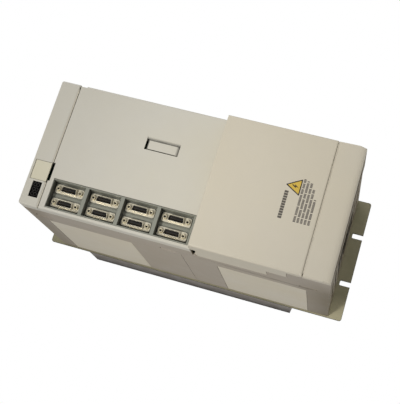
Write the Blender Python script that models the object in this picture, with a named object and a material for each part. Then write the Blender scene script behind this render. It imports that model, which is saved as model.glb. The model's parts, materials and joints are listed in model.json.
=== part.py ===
"""Two-axis servo drive for a control cabinet, built as separate pieces.

The drive stands upright: +Z is up, the front faces -Y and +X is the right-hand side seen from the front.
The origin lies on the rear face of the mounting plate, midway between the two lower fixing slots.
Lengths below are in millimetres; make_object() turns them into metres.
"""
from math import cos, pi, radians, sin, sqrt

import bmesh
import bpy
from mathutils import Matrix, Vector

MM = 0.001
GAP = 0.4                    # clearance between neighbouring pieces

# Mounting plate
PLATE_WIDTH = 152.5
PLATE_HEIGHT = 380
PLATE_THICKNESS = 2
PLATE_CORNER = 3
SLOT_PITCH = 61              # between the two slots of one row
ROW_PITCH = 360              # between the lower and the upper row
SLOT_HALF_WIDTH = 3
SLOT_CORNER = 1.2
ROW_TO_EDGE = 10             # plate edge beyond each slot row

# Housing
HALF_WIDTH = 74.6
CASE_BOTTOM = 5.5
CASE_TOP = 353.5
CASE_SEAM = 172              # joint between the lower and the upper rear case
CASE_WALL = 2.4
REAR_CASE_FRONT = -140       # front edge of the rear cases
FRONT_WALL = 2.2
COVER_REAR = -170            # rear edge of the covers, where the front case begins
FRONT_FACE = -182            # front face of the upper cover
EDGE_ROUND = 2.4
CABLE_OUTLET = (-58, -185, 0), (58, -160, 12)     # opening in the bottom of the front case
SNAP_Y = -147.5
SNAP_HEIGHTS = (29, 186, 334)
SNAP_HALF = 9.5              # half the height of a snap hook
REAR_INSET = 1               # the lower rear case ends this far above the front case
SIDE_PANEL = (101, 125)      # height and depth of each side panel
SIDE_PANEL_CENTRES = (81.5, 282.5)
SIDE_PANEL_Y = -67.5
PANEL_THICKNESS = 0.8
PANEL_POCKET = 1.1           # depth of the pocket that a side panel lies in
VENT_COUNT = 9
VENT_PITCH = 14

# Terminal cover and end strip
TERMINAL_FACE = -198.5
TERMINAL_BOTTOM = 35.4
TERMINAL_TOP = 156
TERMINAL_HINGE = (-197.5, 36.4)     # y and z of the hinge line
TERMINAL_HEEL = 1                   # radius of the lower front edge, which turns about the hinge line
TERMINAL_NOTCH = (-181, 150.5), (-166, 160)      # finger notch in the top edge of each skirt, y and z
TERMINAL_SWING = 120.6              # largest radius that clears the front cover
SKIRT_REAR = -157
SKIRT_MIDDLE = -172.5
SKIRT_FOOT = -190.6
SKIRT_LEVELS = (51.7, 73.7)         # heights of the two steps in the skirt's rear edge
FRAME_FOOT = -189.6                 # front edge of the front case below the skirt
END_STRIP_FACE = -197.3
END_STRIP_TOP = 35

# Front cover
COVER_BOTTOM = 156.4
COVER_TOP = 330.9
COVER_HINGE = (71, -174)   # x and y of the hinge line
PIN_RADIUS = 1
PIN_LUG = (150, 155.5)       # height of the lug that carries the pin's lower end
LATCH_X = (19.4, 31.3)
LATCH_Z = (199.3, 237.8)

# Top bezel, display and switch flap
BEZEL_BOTTOM = 331.3
DISPLAY_X = (-64.3, -46)
DISPLAY_Z = (334.9, 345.7)
FLAP_X = (-43.8, -22)
FLAP_Z = (331.7, 350.6)
FLAP_THICKNESS = 1.8
SWITCH_X = (-37.9, -27.9)
SWITCH_Z = 341.2

# Connector bay
BAY_X = (-71.4, -37.5)
BAY_Z = (159.4, 323.5)
BAY_WALL = 1.2
BAY_FRONT = -181.2
BAY_FLOOR = -170.5
CONNECTOR_X = (-61.6, -45.7)
TOP_CONNECTOR_Z = 305.2
CONNECTOR_PITCH = 41.35
CONNECTOR_ROWS = 4
JACK_SCREW_OFFSET = 12.8
JACK_SCREW_RADIUS = 2.5
COMPARTMENT = (-19.6, 17.5)  # reach of a compartment below and above its connectors

# Heat sink and fans
SINK_HALF_WIDTH = 70.4
SINK_Z = (50, 329)
SINK_DEPTH = 80
SINK_BASE = (-8, 6)
FIN_COUNT = 17
FIN_THICKNESS = 1.8
FIN_BOTTOM = 86
FIN_SLANT = 7.5              # the outer fins rise by this much towards their rear lower corner
FAN_SIZE = 66
FAN_Z = (59.4, 84.4)
FAN_CENTRES = (-34.4, 34.4)
FAN_CENTRE_Y = 43.5
FAN_BORE = 31
BLADE_COUNT = 7

# Inside
BOARD_Y = (-166, -164.4)
BRACKET_Y = (-158, -156.8)
POWER_BOARD_Y = (-60, -58.4)
RIBBON_HALF_WIDTH = 8


def linear(red, green, blue):
    """Turn a display colour, 0 to 255, into the linear values that Blender uses."""
    return tuple((c / 255) ** 2.2 for c in (red, green, blue)) + (1,)


def make_finish(name, colour, roughness, metallic=0.0, alpha=1.0):
    """Make one material from its base colour, roughness and metallic value."""
    finish = bpy.data.materials.new(name)
    finish.use_nodes = True
    shader = finish.node_tree.nodes["Principled BSDF"]
    shader.inputs["Base Color"].default_value = colour
    shader.inputs["Roughness"].default_value = roughness
    shader.inputs["Metallic"].default_value = metallic
    shader.inputs["Alpha"].default_value = alpha
    return finish


def add_box(mesh, low, high):
    """Add a closed box between two corners."""
    size = Vector(high) - Vector(low)
    middle = (Vector(high) + Vector(low)) / 2
    placing = Matrix.Translation(middle) @ Matrix.Diagonal((*size, 1))
    bmesh.ops.create_cube(mesh, size=1, matrix=placing)


def add_prism(mesh, outline, axis, start, end):
    """Extrude a closed outline along axis X, Y or Z; its points are the two other coordinates."""
    place = {
        "X": lambda a, b, depth: (depth, a, b),
        "Y": lambda a, b, depth: (a, depth, b),
        "Z": lambda a, b, depth: (a, b, depth),
    }[axis]
    near = [mesh.verts.new(place(a, b, start)) for a, b in outline]
    far = [mesh.verts.new(place(a, b, end)) for a, b in outline]
    mesh.faces.new(near)
    mesh.faces.new(far[::-1])
    for i in range(len(outline)):
        j = (i + 1) % len(outline)
        mesh.faces.new((near[i], far[i], far[j], near[j]))


def arc(centre, radius, start_deg, end_deg, steps):
    """Points of an arc, both ends included."""
    angles = [radians(start_deg + (end_deg - start_deg) * i / steps) for i in range(steps + 1)]
    return [(centre[0] + radius * cos(a), centre[1] + radius * sin(a)) for a in angles]


def circle(centre, radius, sides, phase=0.0):
    """Points of a regular polygon that stands for a circle."""
    turns = [phase + 2 * pi * i / sides for i in range(sides)]
    return [(centre[0] + radius * cos(t), centre[1] + radius * sin(t)) for t in turns]


def add_cylinder(mesh, centre, radius, axis, start, end, sides=24):
    """Add a cylinder along axis X, Y or Z."""
    add_prism(mesh, circle(centre, radius, sides), axis, start, end)


def round_edges(mesh, radius, chosen, steps=3):
    """Round the edges whose two ends both pass the test."""
    edges = [e for e in mesh.edges if all(chosen(v.co) for v in e.verts)]
    bmesh.ops.bevel(mesh, geom=edges, offset=radius, offset_type="OFFSET", segments=steps,
                    profile=0.5, affect="EDGES", clamp_overlap=True)


def round_top_corners(mesh):
    """Round the two upper corners of the housing, which run from front to back."""
    round_edges(mesh, EDGE_ROUND, lambda co: co.z > CASE_TOP - 0.1 and abs(co.x) > HALF_WIDTH - 0.1)


def make_object(name, mesh, finish, origin=(0, 0, 0), smooth=False):
    """Turn millimetre geometry into a named object whose origin is at the given point."""
    bmesh.ops.recalc_face_normals(mesh, faces=mesh.faces)
    for vert in mesh.verts:
        vert.co = (vert.co - Vector(origin)) * MM
    data = bpy.data.meshes.new(name)
    mesh.to_mesh(data)
    mesh.free()
    if smooth:
        data.shade_smooth()
        data.set_sharp_from_angle(angle=radians(40))
    piece = bpy.data.objects.new(name, data)
    piece.location = Vector(origin) * MM
    bpy.context.scene.collection.objects.link(piece)
    if finish:
        data.materials.append(finish)
    return piece


def box_object(name, low, high, finish):
    """Make a plain box as its own object."""
    mesh = bmesh.new()
    add_box(mesh, low, high)
    return make_object(name, mesh, finish)


def combine(piece, tool_mesh, operation):
    """Cut a tool from a piece, or join it on, with a Boolean that stays on the piece."""
    tool = make_object(f"{piece.name}_tool_{len(piece.modifiers)}", tool_mesh, None)
    tool.hide_render = True
    tool.display_type = "WIRE"
    change = piece.modifiers.new(operation.title(), "BOOLEAN")
    change.operation = operation
    change.solver = "EXACT"
    change.object = tool


def cut_boxes(piece, boxes):
    """Cut several boxes from a piece."""
    mesh = bmesh.new()
    for low, high in boxes:
        add_box(mesh, low, high)
    combine(piece, mesh, "DIFFERENCE")


def join_boxes(piece, boxes):
    """Join several boxes onto a piece that each of them overlaps."""
    mesh = bmesh.new()
    for low, high in boxes:
        add_box(mesh, low, high)
    combine(piece, mesh, "UNION")


# ---------------------------------------------------------------- structure

def plate_outline():
    """Rounded plate with two open slots in its lower edge and two in its upper edge."""
    half = PLATE_WIDTH / 2
    low = -ROW_TO_EDGE
    high = PLATE_HEIGHT - ROW_TO_EDGE
    slot = SLOT_PITCH / 2
    points = arc((-half + PLATE_CORNER, low + PLATE_CORNER), PLATE_CORNER, 180, 270, 4)
    inner = SLOT_HALF_WIDTH - SLOT_CORNER
    for x in (-slot, slot):
        points += [(x - SLOT_HALF_WIDTH, low)] + arc((x - inner, inner), SLOT_CORNER, 180, 90, 3)
        points += arc((x + inner, inner), SLOT_CORNER, 90, 0, 3) + [(x + SLOT_HALF_WIDTH, low)]
    points += arc((half - PLATE_CORNER, low + PLATE_CORNER), PLATE_CORNER, 270, 360, 4)
    points += arc((half - PLATE_CORNER, high - PLATE_CORNER), PLATE_CORNER, 0, 90, 4)
    level = ROW_PITCH - inner
    for x in (slot, -slot):
        points += [(x + SLOT_HALF_WIDTH, high)] + arc((x + inner, level), SLOT_CORNER, 0, -90, 3)
        points += arc((x - inner, level), SLOT_CORNER, -90, -180, 3) + [(x - SLOT_HALF_WIDTH, high)]
    points += arc((-half + PLATE_CORNER, high - PLATE_CORNER), PLATE_CORNER, 90, 180, 4)
    return points


def build_mounting_plate(finish):
    mesh = bmesh.new()
    add_prism(mesh, plate_outline(), "Y", -PLATE_THICKNESS, 0)
    plate = make_object("mounting_plate", mesh, finish)
    window = SINK_HALF_WIDTH + GAP
    cut_boxes(plate, [((-window, -9, SINK_Z[0] - GAP), (window, 9, SINK_Z[1] + GAP))])


def build_heat_sink(finish):
    """Extruded base with tall fins; all but the two outer fins stop above the fans."""
    left = -SINK_HALF_WIDTH
    base_front, base_rear = SINK_BASE
    pitch = (2 * SINK_HALF_WIDTH - FIN_THICKNESS) / (FIN_COUNT - 1)
    outline = [(left, base_front)]
    for i in range(FIN_COUNT):
        x = left + i * pitch
        if i > 0:
            outline.append((x, base_rear))
        outline += [(x, SINK_DEPTH), (x + FIN_THICKNESS, SINK_DEPTH)]
        if i < FIN_COUNT - 1:
            outline.append((x + FIN_THICKNESS, base_rear))
    outline.append((-left, base_front))
    mesh = bmesh.new()
    add_prism(mesh, outline, "Z", *SINK_Z)
    sink = make_object("heat_sink", mesh, finish)
    between = SINK_HALF_WIDTH - FIN_THICKNESS - 0.1
    cut_boxes(sink, [((-between, base_rear, SINK_Z[0] - 5), (between, SINK_DEPTH + 5, FIN_BOTTOM))])
    mesh = bmesh.new()
    beyond = 1.05
    rear = base_rear + (SINK_DEPTH - base_rear) * beyond
    wedge = [(base_rear, SINK_Z[0]), (rear, SINK_Z[0] + FIN_SLANT * beyond), (rear, 40), (base_rear, 40)]
    add_prism(mesh, wedge, "X", -80, 80)
    combine(sink, mesh, "DIFFERENCE")


def side_panel_box(side, centre, depth, inset):
    """Box of a side panel, or of the pocket that holds it, on the side -1 or +1."""
    half_z = SIDE_PANEL[0] / 2 - inset
    half_y = SIDE_PANEL[1] / 2 - inset
    outer = side * (HALF_WIDTH + (1 if inset == 0 else 0))
    xs = sorted((side * (HALF_WIDTH - depth), outer))
    return (xs[0], SIDE_PANEL_Y - half_y, centre - half_z), (xs[1], SIDE_PANEL_Y + half_y, centre + half_z)


def snap_hook_boxes(z, side):
    """Root and tongue of a snap hook that reaches forward from the front edge of a rear case."""
    inner = HALF_WIDTH - CASE_WALL
    edge = REAR_CASE_FRONT
    spans = (
        (inner - 2, inner + 0.6, edge + 0.2, edge + 12),
        (inner - 2, inner - 0.1, SNAP_Y - 4, edge + 6),
    )
    boxes = []
    for near, far, front, back in spans:
        xs = sorted((side * near, side * far))
        boxes.append(((xs[0], front, z - SNAP_HALF), (xs[1], back, z + SNAP_HALF)))
    return boxes


def join_snap_noses(case, snaps):
    """Add the ramped nose of every snap hook; it shows in a window of the front case."""
    root = HALF_WIDTH - CASE_WALL - 1
    mesh = bmesh.new()
    for side in (-1, 1):
        outline = [(root, SNAP_Y - 1.5), (root + 0.8, SNAP_Y - 1.5), (HALF_WIDTH - 0.2, SNAP_Y + 4),
                   (HALF_WIDTH - 0.2, SNAP_Y + 5.1), (root, SNAP_Y + 5.1)]
        for z in snaps:
            mirrored = [(side * x, y) for x, y in outline]
            add_prism(mesh, mirrored, "Z", z - SNAP_HALF + 0.3, z + SNAP_HALF - 0.3)
    combine(case, mesh, "UNION")


def build_rear_case(name, span, open_side, snaps, panel_centre, finish):
    """U-shaped rear case with a vented end wall, two panel pockets and snap hooks that point forward."""
    low, high = span
    mesh = bmesh.new()
    add_box(mesh, (-HALF_WIDTH, REAR_CASE_FRONT, low), (HALF_WIDTH, -PLATE_THICKNESS - GAP, high))
    round_top_corners(mesh)
    case = make_object(name, mesh, finish, smooth=True)
    inner = HALF_WIDTH - CASE_WALL
    if open_side == "top":
        hollow = (low + CASE_WALL, high + 5)
        end_wall = (low - 1, low + CASE_WALL + 1)
    else:
        hollow = (low - 5, high - CASE_WALL)
        end_wall = (high - CASE_WALL - 1, high + 1)
    cut_boxes(case, [((-inner, REAR_CASE_FRONT - 5, hollow[0]), (inner, 5, hollow[1]))])
    hooks = [snap_hook_boxes(z, side) for side in (-1, 1) for z in snaps]
    for layer in zip(*hooks):
        join_boxes(case, layer)
    join_snap_noses(case, snaps)
    cut_boxes(case, [side_panel_box(side, panel_centre, PANEL_POCKET, 0) for side in (-1, 1)])
    first_vent = -VENT_PITCH * (VENT_COUNT - 1) / 2
    vents = []
    for i in range(VENT_COUNT):
        x = first_vent + VENT_PITCH * i
        vents.append(((x - 3, -120, end_wall[0]), (x + 3, -30, end_wall[1])))
    cut_boxes(case, vents)


def build_side_panels(finish):
    """Four thin plates that lie flush in the pockets of the rear cases."""
    for side, side_name in ((-1, "left"), (1, "right")):
        for centre, level in zip(SIDE_PANEL_CENTRES, ("lower", "upper")):
            low, high = side_panel_box(side, centre, PANEL_THICKNESS, GAP)
            box_object(f"side_panel_{side_name}_{level}", low, high, finish)


def build_front_case(finish):
    """Frame between the rear cases and the covers; its sides leave room for the terminal cover."""
    back = REAR_CASE_FRONT - GAP
    front = COVER_REAR + GAP
    low_step, high_step = (level - GAP for level in SKIRT_LEVELS)
    middle, rear = SKIRT_MIDDLE + GAP, SKIRT_REAR + GAP
    outline = [
        (back, CASE_BOTTOM), (FRAME_FOOT, CASE_BOTTOM), (FRAME_FOOT, low_step), (middle, low_step),
        (middle, high_step), (rear, high_step), (rear, TERMINAL_TOP), (front, TERMINAL_TOP),
        (front, CASE_TOP), (back, CASE_TOP),
    ]
    mesh = bmesh.new()
    add_prism(mesh, outline, "X", -HALF_WIDTH, HALF_WIDTH)
    round_top_corners(mesh)
    frame = make_object("front_case", mesh, finish, smooth=True)
    inner = HALF_WIDTH - FRONT_WALL + 0.1
    hollow = (-inner, -200, CASE_BOTTOM + FRONT_WALL), (inner, -130, CASE_TOP - FRONT_WALL)
    cut_boxes(frame, [hollow])
    join_boxes(frame, [((66, -156, PIN_LUG[0]), (HALF_WIDTH - 1, -150, PIN_LUG[1]))])
    join_boxes(frame, [((66, -178, PIN_LUG[0]), (inner - GAP, -155, PIN_LUG[1]))])
    windows = []
    for side in (-1, 1):
        xs = sorted((side * (inner - 0.5), side * (HALF_WIDTH + 1)))
        for z in SNAP_HEIGHTS:
            windows.append(((xs[0], SNAP_Y - 2, z - SNAP_HALF), (xs[1], SNAP_Y + 5.5, z + SNAP_HALF)))
    cut_boxes(frame, windows + [CABLE_OUTLET])
    cut_pin_hole(frame)


def cut_pin_hole(piece):
    """Cut the bearing of the front cover's hinge pin."""
    mesh = bmesh.new()
    add_cylinder(mesh, COVER_HINGE, PIN_RADIUS + GAP, "Z", 145, BEZEL_BOTTOM + 4, 12)
    combine(piece, mesh, "DIFFERENCE")


# ------------------------------------------------------------------- covers

def outer_bezel_edge(edge):
    """True for the edges where two of the bezel's front, top and side faces meet."""
    tests = (
        lambda co: co.y < FRONT_FACE + 0.1,
        lambda co: co.z > CASE_TOP - 0.1,
        lambda co: abs(co.x) > HALF_WIDTH - 0.1,
    )
    return sum(all(test(v.co) for v in edge.verts) for test in tests) == 2


def build_top_bezel(finish):
    mesh = bmesh.new()
    add_box(mesh, (-HALF_WIDTH, FRONT_FACE, BEZEL_BOTTOM), (HALF_WIDTH, COVER_REAR, CASE_TOP))
    edges = [e for e in mesh.edges if outer_bezel_edge(e)]
    bmesh.ops.bevel(mesh, geom=edges, offset=EDGE_ROUND, offset_type="OFFSET", segments=3,
                    profile=0.5, affect="EDGES", clamp_overlap=True)
    bezel = make_object("top_bezel", mesh, finish, smooth=True)
    inner = HALF_WIDTH - FRONT_WALL
    hollow_low = (-inner, FRONT_FACE + FRONT_WALL, BEZEL_BOTTOM + FRONT_WALL)
    cut_boxes(bezel, [(hollow_low, (inner, -160, CASE_TOP - FRONT_WALL))])
    display = (DISPLAY_X[0], -185, DISPLAY_Z[0]), (DISPLAY_X[1], -175, DISPLAY_Z[1])
    flap = (FLAP_X[0] - GAP, -185, BEZEL_BOTTOM - 1), (FLAP_X[1] + GAP, -178, FLAP_Z[1] + GAP)
    finger_room = (FLAP_X[0] - GAP, -185, BEZEL_BOTTOM - 1), (FLAP_X[1] + GAP, -165, BEZEL_BOTTOM + 3)
    cut_boxes(bezel, [display, flap])
    cut_boxes(bezel, [finger_room])
    cut_pin_hole(bezel)


def build_switch_door(finish):
    """Small flap; its rounded upper edge is the hinge barrel."""
    radius = FLAP_THICKNESS / 2
    hinge = (FRONT_FACE + radius, FLAP_Z[1] - radius)
    outline = [(FRONT_FACE, FLAP_Z[0])] + arc(hinge, radius, 180, 0, 6)
    outline.append((FRONT_FACE + FLAP_THICKNESS, FLAP_Z[0]))
    mesh = bmesh.new()
    add_prism(mesh, outline, "X", *FLAP_X)
    make_object("switch_door", mesh, finish, origin=(sum(FLAP_X) / 2, *hinge), smooth=True)


def cut_latch_ramp(cover):
    """Slope the right-hand side of the latch window."""
    mesh = bmesh.new()
    side = LATCH_X[1]
    ramp = [(side - 1, -179), (side - 1, -183), (side + 4.5, -183), (side, -179)]
    add_prism(mesh, ramp, "Z", LATCH_Z[0], LATCH_Z[1])
    combine(cover, mesh, "DIFFERENCE")


def build_front_cover(finish):
    """Hinged upper cover: connector opening, latch window, finger notch of the flap, notch at the hinge."""
    mesh = bmesh.new()
    add_box(mesh, (-HALF_WIDTH, FRONT_FACE, COVER_BOTTOM), (HALF_WIDTH, COVER_REAR, COVER_TOP))
    round_edges(mesh, EDGE_ROUND, lambda co: co.y < FRONT_FACE + 0.1 and abs(co.x) > HALF_WIDTH - 0.1)
    cover = make_object("front_cover", mesh, finish, origin=(*COVER_HINGE, COVER_BOTTOM), smooth=True)
    inner = HALF_WIDTH - FRONT_WALL
    hollow_low = (-inner, FRONT_FACE + FRONT_WALL, COVER_BOTTOM + FRONT_WALL)
    cut_boxes(cover, [(hollow_low, (inner, -160, COVER_TOP - FRONT_WALL))])
    bay = (BAY_X[0], -185, BAY_Z[0]), (BAY_X[1], -176, BAY_Z[1])
    window = (LATCH_X[0], -185, LATCH_Z[0]), (LATCH_X[1], -176, LATCH_Z[1])
    notch = (-41.9, -185, 327.9), (-20.7, -165, COVER_TOP + 1)
    relief = (inner - 0.1, COVER_HINGE[1] + 0.1, 150), (HALF_WIDTH + 5, -160, 340)
    cut_boxes(cover, [bay, window, notch, relief])
    cut_boxes(cover, [((HALF_WIDTH - 1.9, -185, 323.2), (HALF_WIDTH + 5, -160, 332))])
    cut_latch_ramp(cover)
    cut_pin_hole(cover)


def build_cover_pin(finish):
    mesh = bmesh.new()
    add_cylinder(mesh, COVER_HINGE, PIN_RADIUS, "Z", 151, BEZEL_BOTTOM + 3, 12)
    make_object("front_cover_pin", mesh, finish, origin=(*COVER_HINGE, COVER_BOTTOM), smooth=True)


def build_cover_latch(finish):
    """Finger pad with a sloping foot in the cover's window, a wider plate behind it and the catch."""
    foot, head = LATCH_Z[0] + 0.8, LATCH_Z[1] - 3.5
    origin = ((LATCH_X[0] + LATCH_X[1]) / 2, FRONT_FACE + FRONT_WALL, foot)
    outline = [(-178, foot), (-179.6, foot), (-181.7, foot + 3), (-181.7, head), (-178, head)]
    mesh = bmesh.new()
    add_prism(mesh, outline, "X", LATCH_X[0] + 1.3, LATCH_X[1] - 0.8)
    latch = make_object("cover_latch", mesh, finish, origin=origin)
    back_plate = (LATCH_X[0] - 3, -179.4, LATCH_Z[0] + 1.5), (LATCH_X[1] + 1.8, -177.6, LATCH_Z[1] - 2)
    catch = (24, -178.4, 216), (28, -171, 219)
    join_boxes(latch, [back_plate])
    join_boxes(latch, [catch])


def swing_height(y):
    """Highest point of the terminal cover's skirt at depth y that still clears the front cover."""
    return TERMINAL_HINGE[1] + sqrt(TERMINAL_SWING ** 2 - (y - TERMINAL_HINGE[0]) ** 2)


def build_terminal_cover(finish):
    """Raised lower cover; its stepped side skirts wrap back over the frame."""
    curve = [(y, swing_height(y)) for y in (-182.4, -176, -170, -163.5, SKIRT_REAR)]
    outline = [(TERMINAL_FACE, TERMINAL_BOTTOM), (TERMINAL_FACE, TERMINAL_TOP), (-184, TERMINAL_TOP)] + curve
    low_step, high_step = SKIRT_LEVELS
    outline += [(SKIRT_REAR, high_step), (SKIRT_MIDDLE, high_step), (SKIRT_MIDDLE, low_step)]
    outline += [(SKIRT_FOOT, low_step), (SKIRT_FOOT, TERMINAL_BOTTOM)]
    mesh = bmesh.new()
    add_prism(mesh, outline, "X", -HALF_WIDTH, HALF_WIDTH)
    round_edges(mesh, EDGE_ROUND, lambda co: co.y < TERMINAL_FACE + 0.1 and abs(co.x) > HALF_WIDTH - 0.1)
    round_edges(mesh, TERMINAL_HEEL, lambda co: co.y < TERMINAL_FACE + EDGE_ROUND + 0.1
                and co.z < TERMINAL_BOTTOM + 0.1)
    origin = (0, *TERMINAL_HINGE)
    cover = make_object("terminal_cover", mesh, finish, origin=origin, smooth=True)
    inner = HALF_WIDTH - 2
    cut_boxes(cover, [((-inner, TERMINAL_FACE + 2, TERMINAL_BOTTOM + 2), (inner, -150, TERMINAL_TOP - 2))])
    cut_boxes(cover, [((-inner, -183.5, 140), (inner, -150, TERMINAL_TOP + 5))])
    beyond = HALF_WIDTH + 5
    cut_boxes(cover, [((-beyond, *TERMINAL_NOTCH[0]), (beyond, *TERMINAL_NOTCH[1]))])


def build_end_strip(finish):
    """Lower front strip; its face leans back towards the bottom."""
    outline = [(-190, CASE_BOTTOM), (-194.5, CASE_BOTTOM), (END_STRIP_FACE + 0.6, 8.5), (END_STRIP_FACE, 13),
               (END_STRIP_FACE, END_STRIP_TOP), (-190, END_STRIP_TOP)]
    mesh = bmesh.new()
    add_prism(mesh, outline, "X", -HALF_WIDTH, HALF_WIDTH)
    round_edges(mesh, 2, lambda co: co.y < -194 and abs(co.x) > HALF_WIDTH - 0.1, 2)
    strip = make_object("end_strip", mesh, finish, smooth=True)
    inner = HALF_WIDTH - FRONT_WALL
    cut_boxes(strip, [((-inner, -193, CASE_BOTTOM + FRONT_WALL), (inner, -180, END_STRIP_TOP - FRONT_WALL))])


# --------------------------------------------------------------- connectors

def connector_centres():
    """Centre of each signal connector, row by row from the top."""
    rows = [TOP_CONNECTOR_Z - CONNECTOR_PITCH * i for i in range(CONNECTOR_ROWS)]
    return [(x, z) for z in rows for x in CONNECTOR_X]


def build_connector_bay(finish):
    """Tray with one compartment for each row of connectors."""
    mesh = bmesh.new()
    low = (BAY_X[0] + GAP, BAY_FRONT, BAY_Z[0] + GAP)
    high = (BAY_X[1] - GAP, BAY_FLOOR + 1.6, BAY_Z[1] - GAP)
    add_box(mesh, low, high)
    bay = make_object("connector_bay", mesh, finish)
    rooms = []
    for i in range(CONNECTOR_ROWS):
        z = TOP_CONNECTOR_Z - CONNECTOR_PITCH * i
        room_low = (low[0] + BAY_WALL, -190, z + COMPARTMENT[0])
        room_high = (high[0] - BAY_WALL, BAY_FLOOR, z + COMPARTMENT[1])
        rooms.append((room_low, room_high))
    cut_boxes(bay, rooms)
    cut_boxes(bay, [((x - 3.6, -180, z - 9.4), (x + 3.6, -165, z + 9.4)) for x, z in connector_centres()])


def build_connector(number, x, z, shell_finish, insert_finish):
    """Metal flange with a raised rim and two jack screws, and the contact insert inside it."""
    flange_back = BAY_FLOOR - 0.3
    flange_front = flange_back - 1.4
    rim_front = flange_front - 4.2
    mesh = bmesh.new()
    add_box(mesh, (x - 5, flange_front, z - 16.5), (x + 5, flange_back, z + 16.5))
    shell = make_object(f"connector_shell_{number}", mesh, shell_finish)
    rim = bmesh.new()
    bevelled_side = [(x + 2.6, z - 9.2), (x + 3.3, z - 8), (x + 3.3, z + 8), (x + 2.6, z + 9.2)]
    rim_outline = [(x - 3.3, z - 9.2)] + bevelled_side + [(x - 3.3, z + 9.2)]
    add_prism(rim, rim_outline, "Y", rim_front, flange_back - 0.5)
    for offset in (-JACK_SCREW_OFFSET, JACK_SCREW_OFFSET):
        add_cylinder(rim, (x, z + offset), JACK_SCREW_RADIUS, "Y", flange_front - 3, flange_back - 0.5, 12)
    combine(shell, rim, "UNION")
    cut_boxes(shell, [((x - 2.4, -185, z - 8), (x + 2.4, -165, z + 8))])
    mesh = bmesh.new()
    add_box(mesh, (x - 1.8, rim_front + 1.4, z - 7.4), (x + 1.8, BOARD_Y[0] - GAP, z + 7.4))
    insert = make_object(f"connector_insert_{number}", mesh, insert_finish)
    cut_boxes(insert, [((x - 0.5, -185, z - 6.2), (x + 0.5, flange_front + 1, z + 6.2))])


# ------------------------------------------------------- inside and cooling

def build_boards(board_finish, bracket_finish):
    box_object("control_board", (-68, BOARD_Y[0], 160), (68, BOARD_Y[1], 347), board_finish)
    box_object("power_board", (-66, POWER_BOARD_Y[0], 60), (66, POWER_BOARD_Y[1], 320), board_finish)
    outline = [(-68, BRACKET_Y[0]), (68, BRACKET_Y[0]), (68, -146), (66.8, -146), (66.8, BRACKET_Y[1]),
               (-66.8, BRACKET_Y[1]), (-66.8, -146), (-68, -146)]
    mesh = bmesh.new()
    add_prism(mesh, outline, "Z", 44, 346)
    bracket = make_object("board_bracket", mesh, bracket_finish)
    posts = bmesh.new()
    for x in (-60, 60):
        for z in (170, 338):
            add_cylinder(posts, (x, z), 2.5, "Y", BOARD_Y[1] + 0.3, BRACKET_Y[0] + 0.5, 8)
    combine(bracket, posts, "UNION")
    lug_clearance = (60, -165, 147), (75, -140, 159)
    ribbon_slot = (-20, -165, 143), (20, -150, 151)
    bar_slots = [((side * 15 - 8, -165, 124), (side * 15 + 8, -150, 134)) for side in (-1, 1)]
    cut_boxes(bracket, bar_slots + [lug_clearance, ribbon_slot])


def build_power_stage(module_finish, can_finish, copper):
    front = SINK_BASE[0] - 0.3
    for side, name in ((-1, "left"), (1, "right")):
        xs = sorted((side * 4, side * 62))
        mesh = bmesh.new()
        add_box(mesh, (xs[0], front - 17, 90), (xs[1], front, 198))
        round_edges(mesh, 2, lambda co: co.y < front - 16.9, 1)
        make_object(f"power_module_{name}", mesh, module_finish)
    for x, name in ((-44, "left"), (0, "centre"), (44, "right")):
        mesh = bmesh.new()
        add_cylinder(mesh, (x, 280), 19, "Y", -142, POWER_BOARD_Y[0] - GAP, 28)
        round_edges(mesh, 1.5, lambda co: co.y < -141.9, 1)
        make_object(f"capacitor_{name}", mesh, can_finish, smooth=True)
    rear = POWER_BOARD_Y[0] - GAP
    for side, name in ((-1, "negative"), (1, "positive")):
        outline = [(rear, 255), (rear, 128), (-157.8, 128), (-157.8, 130), (rear - 2, 130), (rear - 2, 255)]
        mesh = bmesh.new()
        add_prism(mesh, outline, "X", side * 15 - 6, side * 15 + 6)
        make_object(f"bus_bar_{name}", mesh, copper)


def build_terminal_block(name, x_range, z_range, ways, finish):
    """Block with a barrier on each side of every terminal."""
    back = BRACKET_Y[0] - GAP
    seat, tip = back - 14, back - 24
    thickness = 2
    pitch = (x_range[1] - x_range[0] - thickness) / ways
    outline = [(x_range[0], back)]
    for i in range(ways + 1):
        x = x_range[0] + i * pitch
        if i > 0:
            outline.append((x, seat))
        outline += [(x, tip), (x + thickness, tip)]
        if i < ways:
            outline.append((x + thickness, seat))
    outline.append((x_range[1], back))
    mesh = bmesh.new()
    add_prism(mesh, outline, "Z", *z_range)
    make_object(name, mesh, finish)


def build_small_inside_parts(lamp_finish, ribbon_finish, brass):
    mesh = bmesh.new()
    add_cylinder(mesh, (0, 102), 2.5, "Y", -168, BRACKET_Y[0] - GAP, 16)
    round_edges(mesh, 0.8, lambda co: co.y < -167.9, 1)
    make_object("charge_lamp", mesh, lamp_finish, smooth=True)
    front, rear = BOARD_Y[0] + 0.2, POWER_BOARD_Y[0] - GAP
    outline = [(front, 159.5), (front, 146), (rear, 146), (rear, 160), (rear - 1, 160), (rear - 1, 147),
               (front + 1, 147), (front + 1, 159.5)]
    mesh = bmesh.new()
    add_prism(mesh, outline, "X", -RIBBON_HALF_WIDTH, RIBBON_HALF_WIDTH)
    make_object("ribbon_cable", mesh, ribbon_finish)
    mesh = bmesh.new()
    add_box(mesh, (-48, -187, 16), (48, -184, 28))
    bar = make_object("earth_bar", mesh, brass)
    screws = bmesh.new()
    for x in (-36, -12, 12, 36):
        add_cylinder(screws, (x, 22), 3.5, "Y", -189, -186, 10)
    combine(bar, screws, "UNION")


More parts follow.
